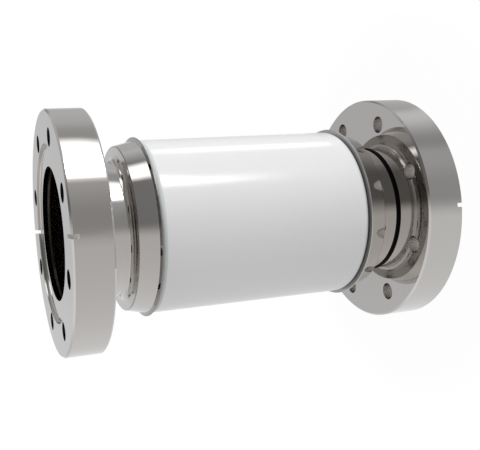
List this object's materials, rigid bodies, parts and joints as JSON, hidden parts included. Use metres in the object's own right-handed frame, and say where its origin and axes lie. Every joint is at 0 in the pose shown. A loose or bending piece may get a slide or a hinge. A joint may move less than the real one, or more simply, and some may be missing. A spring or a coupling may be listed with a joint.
{
  "type": "ceramic vacuum break",
  "caption": "Cylindrical ceramic insulator between two knife-edge vacuum flanges, one fixed and one rotatable, joined by thin weld collars and short neck tubes.",
  "frame": {"origin": "centre of the lower bounding face: on the axis, in the plane of the rotatable flange's sealing face", "axes": "+Z along the bore axis from the rotatable flange up to the fixed flange; the leak-check grooves point along +Y and -Y"},
  "size_m": [0.1134, 0.1134, 0.1844],
  "materials": {
    "ring_steel": "polished stainless steel, fine turning marks",
    "insert_steel": "polished stainless steel with a machined knife edge",
    "spring_steel": "black oxide spring steel",
    "tube_steel": "polished stainless steel tube",
    "collar_alloy": "polished nickel-iron alloy",
    "braze": "silver-copper braze, satin",
    "ceramic": "white glazed alumina",
    "flange_steel": "polished stainless steel, fine turning marks"
  },
  "bodies": {
    "isolator": {"flange_insert": "insert_steel", "snap_ring": "spring_steel", "lower_neck_tube": "tube_steel", "lower_collar": "collar_alloy", "lower_braze_ring": "braze", "ceramic_tube": "ceramic", "upper_braze_ring": "braze", "upper_collar": "collar_alloy", "upper_neck_tube": "tube_steel", "fixed_flange": "flange_steel"},
    "bolt_ring": {"rotatable_ring": "ring_steel"}
  },
  "joints": [
    {"name": "ring_turn", "type": "hinge", "parent": "isolator", "child": "bolt_ring", "pos_m": [0, 0, 0.0094], "axis": [0, 0, 1], "continuous": true}
  ]
}
